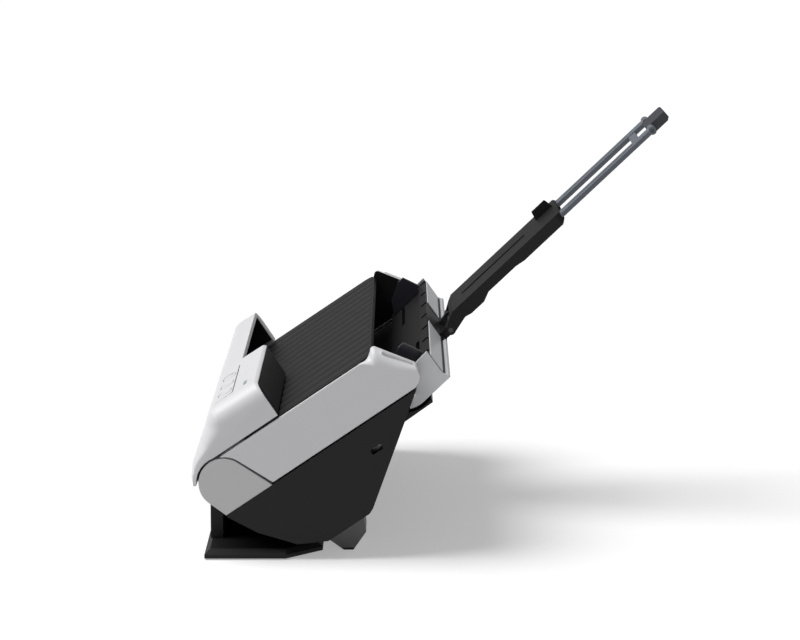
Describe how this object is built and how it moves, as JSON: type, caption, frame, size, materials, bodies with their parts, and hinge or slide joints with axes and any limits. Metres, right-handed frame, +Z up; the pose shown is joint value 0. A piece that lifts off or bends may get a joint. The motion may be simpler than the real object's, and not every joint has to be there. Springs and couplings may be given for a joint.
{
  "type": "document_scanner",
  "caption": "Compact sheet-fed desktop document scanner on a tilted stand, white hinged cover and control panel, open input tray with paper support arm",
  "frame": {"origin": "on the table under the middle of the part's bounding box", "axes": "+Z up off the table; +Y from the front panel towards the input tray; +X towards the end that holds the control keys"},
  "size_m": [0.298, 0.273, 0.2333],
  "materials": {
    "white_plastic": "fine satin",
    "grey_plastic": "satin",
    "black_plastic": "satin",
    "charcoal_plastic": "fine texture",
    "foot_plastic": "matte",
    "tray_plastic": "satin",
    "guide_plastic": "semi gloss",
    "rail_metal": "satin",
    "slate_plastic": "satin",
    "steel": "brushed",
    "rubber": "matte",
    "glass": "clear",
    "board": "coated",
    "brass": "machined",
    "lens": "frosted"
  },
  "bodies": {
    "lower_unit": {"stand_base": "black_plastic", "stand_wall": "black_plastic", "stand_saddle": "black_plastic", "stand_weight": "steel", "rubber_pads": "rubber", "stand_screws": "steel", "lower_housing": "black_plastic", "rear_feet": "foot_plastic", "hinge_cap_right": "grey_plastic", "hinge_cap_left": "grey_plastic", "hinge_pins": "steel", "lower_guide": "charcoal_plastic", "chassis_sides": "steel", "lower_sensor": "charcoal_plastic", "lower_sensor_glass": "glass", "main_board": "board", "motor": "steel", "dc_inlet": "black_plastic", "usb_port": "steel", "tray_rest": "black_plastic", "tray_pins": "steel", "drive_belt": "rubber", "housing_screws": "steel"},
    "pickup": {"pickup_roller": "rubber"},
    "feed": {"feed_roller": "rubber"},
    "turn": {"turn_roller": "rubber"},
    "motor_drive": {"motor_pulley": "brass"},
    "upper_unit": {"side_cover_right": "white_plastic", "side_cover_left": "white_plastic", "rim_inserts": "grey_plastic", "ribbed_cover": "charcoal_plastic", "upper_frame": "charcoal_plastic", "upper_sensor": "charcoal_plastic", "upper_sensor_glass": "glass"},
    "separation": {"separation_roller": "rubber"},
    "feed_pinch": {"feed_pinch_roller": "rubber"},
    "exit_drive": {"exit_roller": "rubber"},
    "panel": {"front_panel": "white_plastic", "panel_ends": "white_plastic", "panel_back": "black_plastic", "output_guide": "charcoal_plastic", "panel_board": "board", "status_lens": "lens"},
    "exit_pinch": {"exit_pinch_rollers": "rubber"},
    "power_button": {"power_key": "white_plastic"},
    "stop_button": {"stop_key": "white_plastic"},
    "scan_button": {"scan_key": "white_plastic"},
    "tray": {"tray_lid": "tray_plastic", "tray_insert": "black_plastic", "arm_bracket": "black_plastic"},
    "guide_right": {"edge_guide_right": "guide_plastic"},
    "guide_left": {"edge_guide_left": "guide_plastic"},
    "pinion": {"guide_pinion": "white_plastic"},
    "support_arm": {"arm": "black_plastic", "arm_pin": "steel"},
    "extension": {"rail_right": "rail_metal", "rail_left": "rail_metal", "rail_tie": "rail_metal", "stop_pins": "steel"},
    "sheet_stop": {"end_stop": "slate_plastic"}
  },
  "joints": [
    {"name": "cover_hinge", "type": "hinge", "parent": "lower_unit", "child": "upper_unit", "pos_m": [0, -0.11825, 0.0433], "axis": [1, 0, 0], "range_deg": [0, 45]},
    {"name": "front_panel_hinge", "type": "hinge", "parent": "upper_unit", "child": "panel", "pos_m": [0, -0.11825, 0.0433], "axis": [1, 0, 0], "range_deg": [0, 20]},
    {"name": "tray_hinge", "type": "hinge", "parent": "lower_unit", "child": "tray", "pos_m": [0, -0.01914, 0.09773], "axis": [-1, 0, 0], "range_deg": [-117, 0]},
    {"name": "arm_hinge", "type": "hinge", "parent": "tray", "child": "support_arm", "pos_m": [-0.014, 0.00867, 0.10619], "axis": [-1, 0, 0], "range_deg": [-28, 0]},
    {"name": "extension_slide", "type": "slide", "parent": "support_arm", "child": "extension", "axis": [0, 0.7254, 0.6884], "range_m": [-0.066, 0]},
    {"name": "stop_hinge", "type": "hinge", "parent": "extension", "child": "sheet_stop", "pos_m": [-0.014, 0.12591, 0.2238], "axis": [1, 0, 0], "range_deg": [0, 90]},
    {"name": "guide_slide_right", "type": "slide", "parent": "tray", "child": "guide_right", "axis": [-1, 0, 0], "range_m": [0, 0.062]},
    {"name": "guide_slide_left", "type": "slide", "parent": "tray", "child": "guide_left", "axis": [1, 0, 0], "range_m": [0, 0.062]},
    {"name": "guide_pinion_spin", "type": "hinge", "parent": "tray", "child": "pinion", "pos_m": [0, -0.00792, 0.0939], "axis": [0, -0.6884, 0.7254], "range_deg": [-10, 1000]},
    {"name": "power_press", "type": "slide", "parent": "panel", "child": "power_button", "axis": [0, 0.5592, -0.829], "range_m": [0, 0.0008], "stiffness_N_per_m": 400, "springref_m": -0.0006},
    {"name": "stop_press", "type": "slide", "parent": "panel", "child": "stop_button", "axis": [0, 0.5592, -0.829], "range_m": [0, 0.0008], "stiffness_N_per_m": 400, "springref_m": -0.0006},
    {"name": "scan_press", "type": "slide", "parent": "panel", "child": "scan_button", "axis": [0, 0.5592, -0.829], "range_m": [0, 0.0008], "stiffness_N_per_m": 400, "springref_m": -0.0006},
    {"name": "feed_spin", "type": "hinge", "parent": "lower_unit", "child": "feed", "pos_m": [0, -0.0534, 0.05803], "axis": [1, 0, 0], "continuous": true},
    {"name": "pickup_spin", "type": "hinge", "parent": "lower_unit", "child": "pickup", "pos_m": [0, -0.03516, 0.07033], "axis": [1, 0, 0], "continuous": true},
    {"name": "turn_spin", "type": "hinge", "parent": "lower_unit", "child": "turn", "pos_m": [0, -0.0932, 0.03119], "axis": [1, 0, 0], "continuous": true},
    {"name": "motor_spin", "type": "hinge", "parent": "lower_unit", "child": "motor_drive", "pos_m": [-0.1425, -0.05662, 0.0324], "axis": [1, 0, 0], "continuous": true},
    {"name": "separation_spin", "type": "hinge", "parent": "upper_unit", "child": "separation", "pos_m": [0, -0.04955, 0.07969], "axis": [1, 0, 0], "continuous": true},
    {"name": "feed_pinch_spin", "type": "hinge", "parent": "upper_unit", "child": "feed_pinch", "pos_m": [0, -0.0614, 0.06989], "axis": [1, 0, 0], "continuous": true},
    {"name": "exit_spin", "type": "hinge", "parent": "upper_unit", "child": "exit_drive", "pos_m": [0, -0.1094, 0.0588], "axis": [1, 0, 0], "continuous": true},
    {"name": "exit_pinch_spin", "type": "hinge", "parent": "panel", "child": "exit_pinch", "pos_m": [0, -0.11505, 0.06717], "axis": [1, 0, 0], "continuous": true}
  ],
  "couplings": [
    {"joint": "guide_slide_left", "follows": "guide_slide_right", "ratio": 1},
    {"joint": "guide_pinion_spin", "follows": "guide_slide_right", "rad_per_m": 253.16},
    {"joint": "pickup_spin", "follows": "feed_spin", "ratio": 1},
    {"joint": "turn_spin", "follows": "feed_spin", "ratio": 1},
    {"joint": "motor_spin", "follows": "feed_spin", "ratio": 1.2222}
  ]
}
